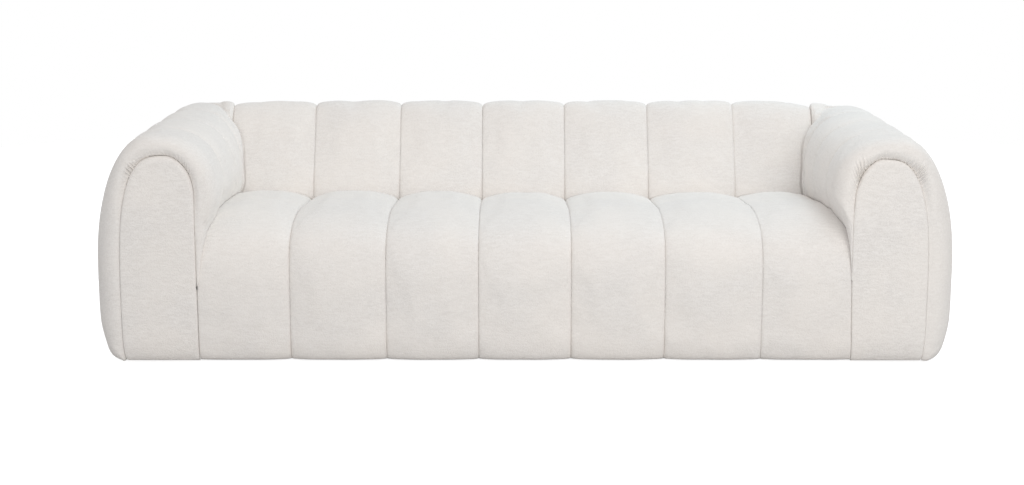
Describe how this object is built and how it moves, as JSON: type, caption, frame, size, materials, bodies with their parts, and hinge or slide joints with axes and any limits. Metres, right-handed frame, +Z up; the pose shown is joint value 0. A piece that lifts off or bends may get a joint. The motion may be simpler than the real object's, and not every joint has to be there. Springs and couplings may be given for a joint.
{
  "type": "channel-tufted sofa",
  "caption": "Low three-seat sofa with vertical channel padding, arms level with the back, arched front panels and a sprung seat on a wooden frame.",
  "frame": {"origin": "on the floor under the middle of the sofa's bounding box", "axes": "+X to the sitter's left as seen from the front (viewer's right), +Y towards the back, +Z up"},
  "size_m": [2.39, 0.915, 0.65],
  "materials": {
    "boucle_cover": "cream white boucle, looped and matt",
    "boucle_panel": "cream white boucle, looped and matt, on the front panels",
    "foam": "open-cell foam, pale yellow",
    "felt": "grey needled felt",
    "spring_steel": "drawn spring wire, dull",
    "zinc_steel": "zinc plated",
    "plywood": "birch plywood, sanded",
    "rail_wood": "planed pine",
    "hardboard": "hardboard, smooth",
    "webbing": "woven elastic webbing, dark grey",
    "glide_plastic": "moulded black plastic",
    "dust_cloth": "black non-woven cloth"
  },
  "bodies": {
    "root": {"seat_channel_1": "boucle_cover", "seat_channel_2": "boucle_cover", "seat_channel_3": "boucle_cover", "seat_channel_4": "boucle_cover", "seat_channel_5": "boucle_cover", "seat_channel_6": "boucle_cover", "seat_channel_7": "boucle_cover", "back_channel_1": "boucle_cover", "back_channel_2": "boucle_cover", "back_channel_3": "boucle_cover", "back_channel_4": "boucle_cover", "back_channel_5": "boucle_cover", "back_channel_6": "boucle_cover", "back_channel_7": "boucle_cover", "back_corner_left": "boucle_cover", "back_corner_right": "boucle_cover", "arm_front_left": "boucle_cover", "arm_middle_left": "boucle_cover", "arm_rear_left": "boucle_cover", "arm_corner_left": "boucle_cover", "arm_front_right": "boucle_cover", "arm_middle_right": "boucle_cover", "arm_rear_right": "boucle_cover", "arm_corner_right": "boucle_cover", "front_panel_left": "boucle_panel", "front_panel_right": "boucle_panel", "panel_boards": "hardboard", "seat_foam": "foam", "spring_felt": "felt", "seat_springs": "spring_steel", "spring_clips": "spring_steel", "tie_wires": "spring_steel", "front_board": "plywood", "rear_board": "plywood", "side_board_left": "plywood", "side_board_right": "plywood", "seat_front_rail": "rail_wood", "seat_rear_rail": "rail_wood", "cross_stretchers": "rail_wood", "seat_posts": "rail_wood", "back_ribs": "plywood", "back_top_rail": "rail_wood", "back_lower_rail": "rail_wood", "back_outer_rail": "rail_wood", "back_webbing": "webbing", "back_skin": "hardboard", "arm_formers_left": "plywood", "arm_formers_right": "plywood", "arm_rails_left": "rail_wood", "arm_rails_right": "rail_wood", "arm_skin_left": "hardboard", "arm_skin_right": "hardboard", "corner_formers": "plywood", "frame_bolts": "zinc_steel", "bolt_nuts": "zinc_steel", "glides": "glide_plastic", "glide_screws": "zinc_steel", "dust_cover": "dust_cloth"}
  },
  "joints": []
}
